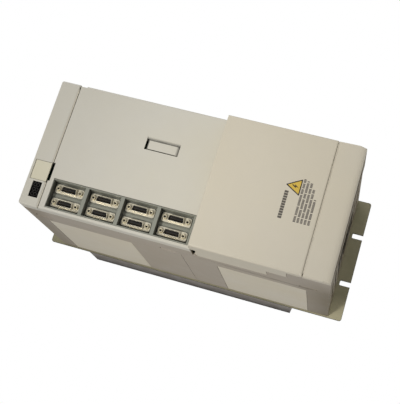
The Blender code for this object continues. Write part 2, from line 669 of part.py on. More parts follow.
def build_display(window_finish, module_finish):
    box_object("display_window", (DISPLAY_X[0] + GAP, -181.7, DISPLAY_Z[0] + GAP),
               (DISPLAY_X[1] - GAP, -180, DISPLAY_Z[1] - GAP), window_finish)
    box_object("display_module", (DISPLAY_X[0] + 1, -179, DISPLAY_Z[0] + 1),
               (DISPLAY_X[1] - 1, BOARD_Y[0] - GAP, DISPLAY_Z[1] - 1), module_finish)


def build_rotary_switches(body_finish, knob_finish):
    for x, name in zip(SWITCH_X, ("left", "right")):
        box_object(f"rotary_switch_{name}", (x - 4.5, -175.6, SWITCH_Z - 4.5),
                   (x + 4.5, BOARD_Y[0] - GAP, SWITCH_Z + 4.5), body_finish)
        mesh = bmesh.new()
        add_cylinder(mesh, (x, SWITCH_Z), 2.8, "Y", -178.6, -176, 20)
        knob = make_object(f"rotary_knob_{name}", mesh, knob_finish, origin=(x, -176, SWITCH_Z), smooth=True)
        cut_boxes(knob, [((x - 0.5, -180, SWITCH_Z - 2.2), (x + 0.5, -177.6, SWITCH_Z + 2.2))])


def blade_mesh(mesh, centre, angle):
    """One pitched fan blade: a thin plate from the hub to near the bore."""
    placing = (Matrix.Translation((centre, FAN_CENTRE_Y, sum(FAN_Z) / 2 - 1))
               @ Matrix.Rotation(angle, 4, "Z") @ Matrix.Translation((19.8, 0, 0))
               @ Matrix.Rotation(radians(38), 4, "X") @ Matrix.Diagonal((17.6, 17, 1.4, 1)))
    bmesh.ops.create_cube(mesh, size=1, matrix=placing)


def build_fan(name, centre, frame_finish, rotor_finish):
    """Axial fan: square frame with a held motor plate, and the rotor above that plate."""
    half = FAN_SIZE / 2
    middle = (centre, FAN_CENTRE_Y)
    mesh = bmesh.new()
    low = (centre - half, FAN_CENTRE_Y - half, FAN_Z[0])
    high = (centre + half, FAN_CENTRE_Y + half, FAN_Z[1])
    add_box(mesh, low, high)
    frame = make_object(f"fan_frame_{name}", mesh, frame_finish, smooth=True)
    bore = bmesh.new()
    add_cylinder(bore, middle, FAN_BORE, "Z", FAN_Z[0] - 5, FAN_Z[1] + 5, 36)
    combine(frame, bore, "DIFFERENCE")
    reach = FAN_BORE + 0.75
    spoke_z = (FAN_Z[0] + 0.4, FAN_Z[0] + 2.8)
    for half_x, half_y in ((reach, 2), (2, reach)):
        low = (centre - half_x, FAN_CENTRE_Y - half_y, spoke_z[0])
        high = (centre + half_x, FAN_CENTRE_Y + half_y, spoke_z[1])
        join_boxes(frame, [(low, high)])
    plate = bmesh.new()
    add_cylinder(plate, middle, 14, "Z", FAN_Z[0] + 0.2, FAN_Z[0] + 3.4, 20)
    combine(frame, plate, "UNION")
    hub = bmesh.new()
    add_cylinder(hub, middle, 14, "Z", FAN_Z[0] + 4, FAN_Z[1] - 1, 24)
    rotor = make_object(f"fan_rotor_{name}", hub, rotor_finish,
                        origin=(centre, FAN_CENTRE_Y, sum(FAN_Z) / 2), smooth=True)
    blades = bmesh.new()
    for i in range(BLADE_COUNT):
        blade_mesh(blades, centre, 2 * pi * i / BLADE_COUNT)
    combine(rotor, blades, "UNION")


def build_fan_guard(finish):
    """Slotted sheet under both fans, between the two outer fins."""
    z = FAN_Z[0] - 1.4
    half_width = SINK_HALF_WIDTH - FIN_THICKNESS - 0.6
    mesh = bmesh.new()
    add_box(mesh, (-half_width, SINK_BASE[1] + 3, z - 0.4), (half_width, SINK_DEPTH, z + 0.8))
    guard = make_object("fan_guard", mesh, finish)
    slots = []
    for centre in FAN_CENTRES:
        for i in range(7):
            y = FAN_CENTRE_Y - 24 + 8 * i
            reach = sqrt(28.5 ** 2 - (y - FAN_CENTRE_Y) ** 2)
            slots.append(((centre - reach, y - 2.6, z - 5), (centre + reach, y + 2.6, z + 5)))
    cut_boxes(guard, slots)


def main():
    for old in list(bpy.data.objects):
        bpy.data.objects.remove(old, do_unlink=True)

    cover_plastic = make_finish("cover_plastic", linear(206, 201, 188), 0.5)
    terminal_plastic = make_finish("terminal_plastic", linear(208, 201, 182), 0.5)
    flap_plastic = make_finish("flap_plastic", linear(206, 199, 176), 0.5)
    case_plastic = make_finish("case_plastic", linear(190, 182, 168), 0.6)
    panel_sheet = make_finish("panel_sheet", linear(206, 200, 186), 0.5)
    bay_plastic = make_finish("bay_plastic", linear(150, 150, 140), 0.6)
    black_plastic = make_finish("black_plastic", linear(28, 26, 24), 0.5)
    smoked_window = make_finish("smoked_window", linear(14, 15, 18), 0.15)
    plated_steel = make_finish("plated_steel", linear(214, 208, 190), 0.35, 0.9)
    plate_steel = make_finish("plate_steel", linear(150, 146, 126), 0.45, 0.7)
    aluminium = make_finish("aluminium", linear(150, 150, 150), 0.45, 0.9)
    board_green = make_finish("board_green", linear(30, 84, 52), 0.5)
    copper = make_finish("copper", linear(196, 120, 80), 0.35, 1.0)
    brass = make_finish("brass", linear(200, 168, 96), 0.35, 1.0)
    knob_white = make_finish("knob_white", linear(226, 222, 212), 0.5)
    can_sleeve = make_finish("can_sleeve", linear(40, 46, 60), 0.4)
    lamp_red = make_finish("lamp_red", linear(190, 40, 30), 0.2)
    ribbon_grey = make_finish("ribbon_grey", linear(170, 170, 168), 0.6)

    build_mounting_plate(plate_steel)
    build_heat_sink(aluminium)
    lower_span = CASE_BOTTOM + REAR_INSET, CASE_SEAM - GAP / 2
    upper_span = CASE_SEAM + GAP / 2, CASE_TOP
    build_rear_case("case_lower", lower_span, "top", SNAP_HEIGHTS[:1], SIDE_PANEL_CENTRES[0], case_plastic)
    build_rear_case("case_upper", upper_span, "bottom", SNAP_HEIGHTS[1:], SIDE_PANEL_CENTRES[1], case_plastic)
    build_side_panels(panel_sheet)
    build_front_case(case_plastic)

    build_top_bezel(cover_plastic)
    build_switch_door(flap_plastic)
    build_front_cover(cover_plastic)
    build_cover_pin(plated_steel)
    build_cover_latch(cover_plastic)
    build_terminal_cover(terminal_plastic)
    build_end_strip(terminal_plastic)

    build_connector_bay(bay_plastic)
    for number, (x, z) in enumerate(connector_centres(), start=1):
        build_connector(number, x, z, plated_steel, black_plastic)

    build_display(smoked_window, black_plastic)
    build_rotary_switches(black_plastic, knob_white)
    build_boards(board_green, plate_steel)
    build_power_stage(black_plastic, can_sleeve, copper)
    build_terminal_block("terminal_block_supply", (-60, 60), (118, 142), 6, black_plastic)
    build_terminal_block("terminal_block_motor_left", (-64, -3), (62, 86), 4, black_plastic)
    build_terminal_block("terminal_block_motor_right", (3, 64), (62, 86), 4, black_plastic)
    build_small_inside_parts(lamp_red, ribbon_grey, brass)

    for name, centre in zip(("left", "right"), FAN_CENTRES):
        build_fan(name, centre, black_plastic, black_plastic)
    build_fan_guard(plate_steel)


main()
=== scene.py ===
"""Looks of a two-axis servo drive: materials, fine detail, floor, lights and camera round the model."""
import json
import random
from math import cos, pi, radians, sin

import bmesh
import bpy
from mathutils import Matrix, Vector


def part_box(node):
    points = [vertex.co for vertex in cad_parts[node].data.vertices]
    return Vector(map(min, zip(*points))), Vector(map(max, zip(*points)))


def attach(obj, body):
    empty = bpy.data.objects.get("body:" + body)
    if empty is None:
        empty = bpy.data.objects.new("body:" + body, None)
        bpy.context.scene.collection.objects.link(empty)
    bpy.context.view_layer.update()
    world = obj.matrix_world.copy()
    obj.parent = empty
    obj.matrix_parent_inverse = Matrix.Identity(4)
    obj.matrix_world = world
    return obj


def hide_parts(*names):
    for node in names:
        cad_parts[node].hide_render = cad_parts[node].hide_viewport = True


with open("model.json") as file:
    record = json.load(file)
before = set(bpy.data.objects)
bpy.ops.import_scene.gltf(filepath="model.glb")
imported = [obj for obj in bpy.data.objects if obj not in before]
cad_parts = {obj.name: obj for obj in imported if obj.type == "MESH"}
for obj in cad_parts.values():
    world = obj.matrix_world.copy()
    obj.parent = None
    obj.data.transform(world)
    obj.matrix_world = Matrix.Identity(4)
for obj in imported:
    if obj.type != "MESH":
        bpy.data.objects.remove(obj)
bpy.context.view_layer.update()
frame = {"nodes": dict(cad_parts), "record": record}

MM = 0.001
nodes = frame["nodes"]
draws = random.Random(7)

# The camera stands low in front of the drive's left side, looks up and lies on its side. Angles in degrees
CAMERA_PLACE = (-0.2474, -1.0612, -0.0268)
CAMERA_YAW = 14.339
CAMERA_PITCH = 11.657
CAMERA_ROLL = 75.486
CAMERA_LENS = 77.984

# Studio, in metres and watts. The floor lies low enough to stay out of the camera's view
FLOOR_Z = -0.25
FLOOR_RADIUS = 1.4
AMBIENT = 0.4
LIGHTS = {                   # place, target, size, power, colour, and the angle of a spot's cone
    "key": ((-0.95, -1.97, 0.84), (0, -0.19, 0.17), 0.5, 130, (1, 0.99, 0.965), 18),
    "right": ((1.5, -0.6, 0.9), (0, -0.1, 0.16), 1.0, 6, (0.97, 0.98, 1), None),
    "back": ((0.4, 1.6, 1.4), (0, 0, 0.18), 1.0, 14, (1, 1, 1), None),
}

# Places on the CAD model that materials refer to, in metres
COVER_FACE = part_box("front_cover")[0][1]
COVER_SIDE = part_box("front_cover")[1][0]
HOUSING_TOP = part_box("top_bezel")[1][2]
EDGE_ROUND = 0.0024          # radius of the long edges of the covers


# ---------------------------------------------------------------- materials

def srgb(red, green, blue):
    """Display colour, 0 to 255, as linear values."""
    def one(c):
        c /= 255
        return c / 12.92 if c <= 0.04045 else ((c + 0.055) / 1.055) ** 2.4
    return (one(red), one(green), one(blue), 1)


class Look:
    """A material under construction: short calls that add and join shader nodes."""

    def __init__(self, name):
        self.material = bpy.data.materials.new(name)
        self.material.use_nodes = True
        self.tree = self.material.node_tree
        self.shader = self.tree.nodes["Principled BSDF"]
        self.place = self.add("ShaderNodeTexCoord").outputs["Object"]

    def add(self, kind, **values):
        node = self.tree.nodes.new(kind)
        for key, value in values.items():
            setattr(node, key, value)
        return node

    def put(self, value, socket):
        """Join an output to a socket, or set the socket to a plain value."""
        if isinstance(value, bpy.types.NodeSocket):
            self.tree.links.new(value, socket)
        else:
            socket.default_value = value

    def stretched(self, x, y, z):
        """Object coordinates, scaled separately along the three axes."""
        node = self.add("ShaderNodeMapping")
        self.put(self.place, node.inputs["Vector"])
        node.inputs["Scale"].default_value = (x, y, z)
        return node.outputs["Vector"]

    def noise(self, scale, detail=3, roughness=0.5, place=None):
        """Smooth noise whose scale is in features per metre."""
        node = self.add("ShaderNodeTexNoise")
        self.put(place or self.place, node.inputs["Vector"])
        node.inputs["Scale"].default_value = scale
        node.inputs["Detail"].default_value = detail
        node.inputs["Roughness"].default_value = roughness
        return node.outputs["Fac"]

    def cells(self, scale):
        """Distance to the middle of the nearest cell."""
        node = self.add("ShaderNodeTexVoronoi")
        self.put(self.place, node.inputs["Vector"])
        node.inputs["Scale"].default_value = scale
        return node.outputs["Distance"]

    def spread(self, value, low, high, out_low=0.0, out_high=1.0):
        """Map a range of values onto another, clamped."""
        node = self.add("ShaderNodeMapRange")
        self.put(value, node.inputs["Value"])
        ends = {"From Min": low, "From Max": high, "To Min": out_low, "To Max": out_high}
        for name, number in ends.items():
            node.inputs[name].default_value = number
        return node.outputs["Result"]

    def mix(self, factor, a, b):
        """Mix two colours."""
        node = self.add("ShaderNodeMix", data_type="RGBA")
        self.put(factor, node.inputs[0])
        self.put(a, node.inputs[6])
        self.put(b, node.inputs[7])
        return node.outputs[2]

    def calc(self, operation, a, b):
        """Arithmetic on two values."""
        node = self.add("ShaderNodeMath", operation=operation)
        self.put(a, node.inputs[0])
        self.put(b, node.inputs[1])
        return node.outputs[0]

    def crevice(self, reach):
        """0 in the open, rising towards 1 in seams and inner corners."""
        node = self.add("ShaderNodeAmbientOcclusion", samples=8)
        node.inputs["Distance"].default_value = reach
        return self.calc("SUBTRACT", 1.0, node.outputs["AO"])

    def edge(self, radius):
        """Rises from 0 on flat faces to 1 on outer edges, for wear and for painted shade."""
        bevel = self.add("ShaderNodeBevel", samples=4)
        bevel.inputs["Radius"].default_value = radius
        flat = self.add("ShaderNodeNewGeometry").outputs["Normal"]
        node = self.add("ShaderNodeVectorMath", operation="DOT_PRODUCT")
        self.put(bevel.outputs["Normal"], node.inputs[0])
        self.put(flat, node.inputs[1])
        return self.spread(node.outputs["Value"], 0.999, 0.85)

    def component(self, vector, axis):
        parts = self.add("ShaderNodeSeparateXYZ")
        self.put(vector, parts.inputs["Vector"])
        return parts.outputs[axis]

    def facing(self, axis):
        """How far the surface faces along an axis, from -1 to 1."""
        return self.component(self.add("ShaderNodeNewGeometry").outputs["True Normal"], axis)

    def along(self, axis, low, high):
        """Rises from 0 to 1 between two places along an axis, in metres."""
        return self.spread(self.component(self.place, axis), low, high)

    def bump(self, height, strength, distance, under=None):
        """Normal of a fine relief, laid over another one if that is given."""
        node = self.add("ShaderNodeBump")
        node.inputs["Strength"].default_value = strength
        node.inputs["Distance"].default_value = distance
        self.put(height, node.inputs["Height"])
        if under:
            self.put(under, node.inputs["Normal"])
        return node.outputs["Normal"]

    def finish(self, colour, roughness, metallic=0.0, normal=None, **others):
        """Join everything to the shader; others are its further inputs, with _ for a space."""
        self.put(colour, self.shader.inputs["Base Color"])
        self.put(roughness, self.shader.inputs["Roughness"])
        self.shader.inputs["Metallic"].default_value = metallic
        if normal:
            self.put(normal, self.shader.inputs["Normal"])
        for key, value in others.items():
            self.put(value, self.shader.inputs[key.replace("_", " ")])
        return self.material


def scaled(colour, factor):
    """A lighter or darker shade of a colour."""
    return tuple(c * factor for c in colour[:3]) + (1,)


def moulded_plastic(name, colour, roughness=0.48, grain=0.35, dirt=0.35, yellowing=0.5, shade_mask=None,
                    shade_tint=(0.25, 0.25, 0.25)):
    """Injection-moulded housing plastic: spark-eroded grain, uneven ageing, dust in seams, worn edges.

    The shade mask, made with the look, paints shade on chosen places; the shade tint is the share of red,
    green and blue that the painted shade leaves.
    """
    look = Look(name)
    broad = look.noise(9, 4, 0.55)
    aged = (colour[0] * 0.97, colour[1] * 0.94, colour[2] * 0.84, 1)
    tone = look.mix(look.spread(broad, 0.35, 0.7, 0, yellowing), colour, aged)
    blotch = look.spread(look.noise(60, 5, 0.6), 0.3, 0.75, 0, 0.10)
    tone = look.mix(blotch, tone, scaled(colour, 0.82))
    speck = look.spread(look.noise(2600, 2), 0.35, 0.75, 0, 0.12)
    tone = look.mix(speck, tone, scaled(colour, 0.75))
    dust = look.spread(look.crevice(0.006), 0.25, 0.9, 0, dirt)
    tone = look.mix(dust, tone, scaled(colour, 0.42))
    # painted shade on the places that the shade mask picks, in the shade tint
    if shade_mask:
        shade_colour = tuple(c * left for c, left in zip(colour, shade_tint)) + (1,)
        tone = look.mix(shade_mask(look), tone, shade_colour)
    patchy = look.spread(look.noise(140, 4), 0.45, 0.65, 0, 0.5)
    worn = look.calc("MULTIPLY", look.edge(0.0008), patchy)
    tone = look.mix(worn, tone, scaled(colour, 1.18))
    gloss = look.spread(look.noise(35, 4), 0.3, 0.7, roughness - 0.06, roughness + 0.08)
    texture = look.calc("ADD", look.noise(1500, 3, 0.6), look.calc("MULTIPLY", look.cells(1900), 0.5))
    normal = look.bump(texture, grain, 0.00006)
    warp = look.bump(look.noise(14, 2), 0.05, 0.001, normal)
    return look.finish(tone, gloss, normal=warp)


def shade_facing_down(look):
    """Painted shade on the walls that face down."""
    return look.spread(look.facing("Z"), -0.4, -0.9)


def case_painted_shade(look):
    """Painted shade on the vented bottom and other downward faces, and at both housing ends, less in
    front.
    """
    lower = look.calc("MULTIPLY", look.along("Z", 0.05, 0.01), look.along("Y", -0.19, -0.13))
    upper = look.calc("MULTIPLY", look.along("Z", 0.32, 0.342), 0.36)
    end_shade = look.calc("ADD", look.calc("MULTIPLY", lower, 0.6), upper)
    return look.calc("MAXIMUM", end_shade, look.calc("MULTIPLY", shade_facing_down(look), 0.8))


def shade_in_recesses(look):
    """Painted shade below the level of the front faces, inside their rounded outer edges."""
    side = COVER_SIDE - EDGE_ROUND
    top = HOUSING_TOP - EDGE_ROUND
    across = look.calc("ABSOLUTE", look.component(look.place, "X"), 0.0)
    inside = look.spread(across, side, side - 0.0004)
    below_top = look.along("Z", top, top - 0.0004)
    depth = look.calc("MULTIPLY", look.along("Y", COVER_FACE + 0.0004, COVER_FACE + 0.002), 0.8)
    return look.calc("MULTIPLY", look.calc("MULTIPLY", inside, below_top), depth)


def sheet_steel(name, colour, tint, roughness, metallic):
    """Plated sheet steel that lies across Y: rolling lines, clouds, scratches, and painted shade on side
    faces and edges.

    Painted light brightens it towards the lower left corner.
    """
    look = Look(name)
    cloud = look.spread(look.noise(28, 5, 0.6), 0.35, 0.68)
    tone = look.mix(cloud, colour, tint)
    rolling = look.noise(1, 3, 0.5, look.stretched(900, 900, 12))
    tone = look.mix(look.spread(rolling, 0.4, 0.62, 0, 0.25), tone, scaled(colour, 0.7))
    scratch = look.noise(1, 2, 0.5, look.stretched(60, 60, 2600))
    wear = look.calc("ADD", look.noise(90, 4), scratch)
    rough = look.spread(wear, 0.7, 1.3, roughness - 0.1, roughness + 0.16)
    dust = look.spread(look.crevice(0.004), 0.3, 0.95, 0, 0.5)
    tone = look.mix(dust, tone, scaled(colour, 0.3))
    # painted light: a pool of light towards the lower left corner
    painted_light_pool = look.calc("MULTIPLY", look.along("X", -0.046, -0.07), look.along("Z", 0.06, 0.01))
    tone = look.mix(look.calc("MULTIPLY", painted_light_pool, 0.8), tone, scaled(colour, 1.6))
    # painted shade: side faces and outer edges go near black
    shade_aside = look.spread(look.calc("ABSOLUTE", look.facing("Y"), 0.0), 0.9, 0.5)
    tone = look.mix(shade_aside, tone, srgb(40, 38, 38))
    tone = look.mix(look.edge(0.0013), tone, srgb(48, 46, 42))
    return look.finish(tone, rough, metallic, look.bump(rolling, 0.12, 0.00005))


def extruded_aluminium(name, colour):
    """Extruded aluminium: long die lines along Z, dull oxide patches, painted shade darkening it towards
    the back.
    """
    look = Look(name)
    lines = look.noise(1, 4, 0.6, look.stretched(1600, 1600, 6))
    tone = look.mix(look.spread(lines, 0.35, 0.65), scaled(colour, 0.82), colour)
    oxide = look.spread(look.noise(45, 5, 0.6), 0.4, 0.7, 0, 0.35)
    tone = look.mix(oxide, tone, scaled(colour, 0.6))
    dust = look.spread(look.crevice(0.02), 0.35, 0.95, 0, 0.55)
    tone = look.mix(dust, tone, srgb(58, 54, 48))
    # painted shade: darker towards the back
    tone = look.mix(look.along("Y", 0.008, 0.08), tone, scaled(colour, 0.1))
    rough = look.spread(look.noise(70, 3), 0.3, 0.7, 0.34, 0.55)
    sheen = look.calc("MULTIPLY", look.along("Y", 0.075, 0.03), 0.5)
    return look.finish(tone, rough, 0.25, look.bump(lines, 0.25, 0.00008), Specular_IOR_Level=sheen)


def black_plastic(name, colour, roughness=0.5):
    """Glass-filled black plastic: faint grey fibres and dust."""
    look = Look(name)
    fibre = look.noise(1, 3, 0.6, look.stretched(700, 2400, 900))
    tone = look.mix(look.spread(fibre, 0.5, 0.75, 0, 0.3), colour, scaled(colour, 2.2))
    dust = look.spread(look.noise(120, 5, 0.7), 0.52, 0.8, 0, 0.25)
    tone = look.mix(dust, tone, srgb(96, 92, 84))
    rough = look.spread(look.noise(200, 3), 0.3, 0.7, roughness - 0.1, roughness + 0.12)
    return look.finish(tone, rough, normal=look.bump(fibre, 0.2, 0.00004))


def board_laminate(name):
    """Circuit board: green solder mask over traces, with tinned pads."""
    look = Look(name)
    base = srgb(18, 74, 46)
    traces = look.add("ShaderNodeTexBrick", offset=0.37, offset_frequency=3, squash=0.6,
                      squash_frequency=2)
    turned = look.add("ShaderNodeMapping")
    look.put(look.place, turned.inputs["Vector"])
    turned.inputs["Rotation"].default_value = (radians(90), 0, 0)
    look.put(turned.outputs["Vector"], traces.inputs["Vector"])
    traces.inputs["Scale"].default_value = 42
    traces.inputs["Mortar Size"].default_value = 0.02
    tone = look.mix(traces.outputs["Fac"], base, srgb(40, 112, 70))
    pads = look.spread(look.cells(420), 0.16, 0.12)
    tone = look.mix(pads, tone, srgb(190, 190, 180))
    rough = look.spread(look.noise(80), 0.3, 0.7, 0.25, 0.45)
    return look.finish(tone, rough, normal=look.bump(traces.outputs["Fac"], 0.3, 0.00005))


def bare_metal(name, colour, roughness=0.3, metallic=0.9, tarnishing=0.6):
    """Turned or pressed bare metal with fine scratches and tarnish."""
    look = Look(name)
    tarnish = look.spread(look.noise(160, 5, 0.65), 0.4, 0.72, 0, tarnishing)
    tone = look.mix(tarnish, colour, scaled(colour, 0.62))
    scratch = look.noise(1, 3, 0.6, look.stretched(400, 400, 3200))
    dust = look.spread(look.crevice(0.0025), 0.3, 0.9, 0, 0.7)
    tone = look.mix(dust, tone, scaled(colour, 0.22))
    rough = look.spread(scratch, 0.3, 0.7, roughness - 0.08, roughness + 0.14)
    return look.finish(tone, rough, metallic, look.bump(scratch, 0.1, 0.00003))


def smoked_window(name):
    """Glossy dark filter window with faint smears."""
    look = Look(name)
    smear = look.noise(1, 4, 0.6, look.stretched(90, 90, 260))
    tone = look.mix(look.spread(smear, 0.4, 0.7, 0, 0.3), srgb(3, 4, 3), srgb(9, 10, 8))
    rough = look.spread(smear, 0.35, 0.7, 0.12, 0.3)
    ripple = look.bump(look.noise(30), 0.03, 0.0005)
    return look.finish(tone, rough, normal=ripple, Specular_IOR_Level=0.06)


def printed_ink(name, colour):
    """Screen-printed ink or label film, slightly patchy."""
    look = Look(name)
    patch = look.spread(look.noise(900, 3), 0.4, 0.75, 0, 0.35)
    tone = look.mix(patch, colour, tuple(min(1, c + 0.10) for c in colour[:3]) + (1,))
    rough = look.spread(look.noise(300), 0.3, 0.7, 0.32, 0.5)
    return look.finish(tone, rough, normal=look.bump(look.noise(2000), 0.1, 0.00002))


def pale_floor(name):
    """Pale matt studio floor."""
    look = Look(name)
    cloud = look.spread(look.noise(3, 4), 0.3, 0.7)
    tone = look.mix(cloud, srgb(236, 235, 232), srgb(244, 243, 241))
    return look.finish(tone, 0.75, normal=look.bump(look.noise(400), 0.05, 0.0002))


LOOKS = {
    "cover_plastic": moulded_plastic("cover_plastic", srgb(212, 208, 196), shade_mask=shade_in_recesses),
    "terminal_plastic": moulded_plastic("terminal_plastic", srgb(214, 206, 188), yellowing=0.35),
    "flap_plastic": moulded_plastic("flap_plastic", srgb(222, 216, 193)),
    "case_plastic": moulded_plastic("case_plastic", srgb(178, 168, 154), 0.55, shade_mask=case_painted_shade,
                                    shade_tint=(0.25, 0.2, 0.06)),
    "panel_sheet": moulded_plastic("panel_sheet", srgb(222, 213, 193), 0.42, 0.15),
    "bay_plastic": moulded_plastic("bay_plastic", srgb(146, 147, 136), 0.55, dirt=0.4, shade_mask=shade_facing_down),
    "knob_plastic": moulded_plastic("knob_plastic", srgb(226, 222, 212), 0.4),
    "ribbon_plastic": moulded_plastic("ribbon_plastic", srgb(176, 176, 172), 0.5),
    "black_plastic": black_plastic("black_plastic", srgb(24, 22, 21)),
    "can_sleeve": black_plastic("can_sleeve", srgb(30, 36, 52), 0.3),
    "lamp_lens": printed_ink("lamp_lens", srgb(180, 30, 22)),
    "plated_steel": bare_metal("plated_steel", srgb(242, 234, 212), 0.4, 0.5, 0.25),
    "plate_steel": sheet_steel("plate_steel", srgb(164, 158, 130), srgb(150, 146, 116), 0.45, 0.15),
    "sink_aluminium": extruded_aluminium("sink_aluminium", srgb(188, 176, 164)),
    "board_laminate": board_laminate("board_laminate"),
    "bus_copper": bare_metal("bus_copper", srgb(204, 124, 84)),
    "earth_brass": bare_metal("earth_brass", srgb(204, 170, 92)),
    "smoked_window": smoked_window("smoked_window"),
    "screw_steel": bare_metal("screw_steel", srgb(226, 216, 188), 0.36, 0.7, 0.4),
    "contact_gold": bare_metal("contact_gold", srgb(120, 92, 44), 0.3),
    "socket_black": black_plastic("socket_black", srgb(10, 9, 8), 0.6),
    "label_silver": printed_ink("label_silver", srgb(186, 184, 176)),
    "tan_ceramic": printed_ink("tan_ceramic", srgb(170, 138, 96)),
    "dark_ink": printed_ink("dark_ink", srgb(42, 36, 30)),
    "grey_ink": printed_ink("grey_ink", srgb(88, 82, 74)),
    "faint_ink": printed_ink("faint_ink", srgb(112, 106, 98)),
    "white_ink": printed_ink("white_ink", srgb(214, 212, 204)),
    "yellow_ink": printed_ink("yellow_ink", srgb(216, 182, 72)),
    "dim_segment": printed_ink("dim_segment", srgb(20, 12, 11)),
}


# -------------------------------------------------------------- CAD pieces

CONNECTOR_NUMBERS = range(1, 9)
REMODELLED = {"connector_bay"}
for part in ("shell", "insert"):
    REMODELLED |= {f"connector_{part}_{number}" for number in CONNECTOR_NUMBERS}

PLAIN_EDGE = 0.3             # widths of the small rounds on CAD edges, in millimetres
FINE_EDGES = {"cover_plastic": 0.2, "terminal_plastic": 0.2, "flap_plastic": 0.15, "case_plastic": 0.25}


def dress(name, look, width):
    """Give a CAD node its material and round its edges a little."""
    piece = nodes[name]
    piece.data.materials.clear()
    piece.data.materials.append(look)
    for face in piece.data.polygons:
        face.use_smooth = True
    weld = piece.modifiers.new("weld", "WELD")
    weld.merge_threshold = 0.00001
    flat = piece.modifiers.new("flat", "DECIMATE")
    flat.decimate_type = "DISSOLVE"
    flat.angle_limit = radians(1)
    round_with_modifiers(piece, width)


def round_with_modifiers(piece, width):
    """Bevel sharp edges by a width in millimetres and keep the flat faces flat in the shading."""
    bevel = piece.modifiers.new("bevel", "BEVEL")
    bevel.width = width * MM
    bevel.segments = 2
    bevel.limit_method = "ANGLE"
    bevel.angle_limit = radians(38)
    bevel.use_clamp_overlap = True
    bevel.miter_outer = "MITER_ARC"
    shade = piece.modifiers.new("shade", "WEIGHTED_NORMAL")
    shade.keep_sharp = False
    shade.weight = 80


for entry in frame["record"]["subparts"]:
    if entry["node"] not in REMODELLED:
        slot_name = entry["material_slot"]
        dress(entry["node"], LOOKS[slot_name], FINE_EDGES.get(slot_name, PLAIN_EDGE))


# ----------------------------------------------------------- mesh building

def add_box(mesh, low, high):
    """Add a closed box between two corners, in millimetres like every length below."""
    size = Vector(high) - Vector(low)
    middle = (Vector(high) + Vector(low)) / 2
    placing = Matrix.Translation(middle) @ Matrix.Diagonal((*size, 1))
    bmesh.ops.create_cube(mesh, size=1, matrix=placing)


def ring_of(mesh, outline, axis, depth):
    """Vertices of an outline at one depth along axis X, Y or Z."""
    place = {
        "X": lambda a, b: (depth, a, b),
        "Y": lambda a, b: (a, depth, b),
        "Z": lambda a, b: (a, b, depth),
    }[axis]
    return [mesh.verts.new(place(a, b)) for a, b in outline]


def bridge(mesh, first, second):
    """Faces between two rings with the same number of vertices."""
    for i in range(len(first)):
        j = (i + 1) % len(first)
        mesh.faces.new((first[i], second[i], second[j], first[j]))


def add_prism(mesh, outline, axis, start, end):
    """Closed solid between two depths of one outline."""
    near = ring_of(mesh, outline, axis, start)
    far = ring_of(mesh, outline, axis, end)
    mesh.faces.new(near)
    mesh.faces.new(far[::-1])
    bridge(mesh, near, far)


def add_tube(mesh, outer, inner, axis, start, end):
    """Wall between two outlines that have the same number of points."""
    rings = [ring_of(mesh, line, axis, depth) for line, depth in
             ((outer, start), (outer, end), (inner, end), (inner, start))]
    for i in range(4):
        bridge(mesh, rings[i], rings[(i + 1) % 4])


ROUND_SIDES = 24
CORNER_STEPS = 4


def circle(centre, radius, sides=ROUND_SIDES):
    turns = [2 * pi * i / sides for i in range(sides)]
    return [(centre[0] + radius * cos(t), centre[1] + radius * sin(t)) for t in turns]


def hexagon(centre, across):
    """Hexagon given with as many points as a circle, so that a tube can join the two."""
    points = []
    for i in range(ROUND_SIDES):
        turn = 2 * pi * i / ROUND_SIDES
        reach = across / 2 / cos(turn % (pi / 3) - pi / 6)
        points.append((centre[0] + reach * cos(turn), centre[1] + reach * sin(turn)))
    return points


def softened(corners, radius):
    """Polygon with rounded corners."""
    points = []
    for i, (x, y) in enumerate(corners):
        corner = Vector((x, y))
        before = Vector(corners[i - 1])
        after = Vector(corners[(i + 1) % len(corners)])
        start = corner + (before - corner).normalized() * radius
        end = corner + (after - corner).normalized() * radius
        for step in range(CORNER_STEPS + 1):
            t = step / CORNER_STEPS
            point = start * (1 - t) ** 2 + corner * 2 * t * (1 - t) + end * t ** 2
            points.append((point.x, point.y))
    return points


def rectangle(x, z, half_x, half_z):
    left, right, low, high = x - half_x, x + half_x, z - half_z, z + half_z
    return [(left, low), (right, low), (right, high), (left, high)]


def mesh_data(name, mesh, look):
    """Turn millimetre geometry into mesh data with a material."""
    bmesh.ops.recalc_face_normals(mesh, faces=mesh.faces)
    for vert in mesh.verts:
        vert.co *= MM
    data = bpy.data.meshes.new(name)
    mesh.to_mesh(data)
    mesh.free()
    data.materials.append(look)
    return data


def place_piece(name, data, body, place=(0, 0, 0), bevel=0.0, turn=(0, 0, 0)):
    """Put mesh data into the scene on a body of the frame; turn is in degrees."""
    piece = bpy.data.objects.new(name, data)
    piece.location = Vector(place) * MM
    piece.rotation_euler = [radians(angle) for angle in turn]
    bpy.context.scene.collection.objects.link(piece)
    for face in data.polygons:
        face.use_smooth = True
    if bevel:
        round_with_modifiers(piece, bevel)
    else:
        data.set_sharp_from_angle(angle=radians(35))
    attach(piece, body)
    return piece


def make_piece(name, mesh, look, body="drive", bevel=0.0):
    """Put fresh geometry into the scene with a look from the table."""
    return place_piece(name, mesh_data(name, mesh, LOOKS[look]), body, bevel=bevel)


# --------------------------------------------------- connector bay and plugs

def box_mm(name):
    """Low and high corner of a CAD node in millimetres."""
    return [tuple(c / MM for c in corner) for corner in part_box(name)]


def middle_mm(name):
    """Middle of the box round a CAD node in millimetres."""
    return [(a + b) / 2 for a, b in zip(*box_mm(name))]


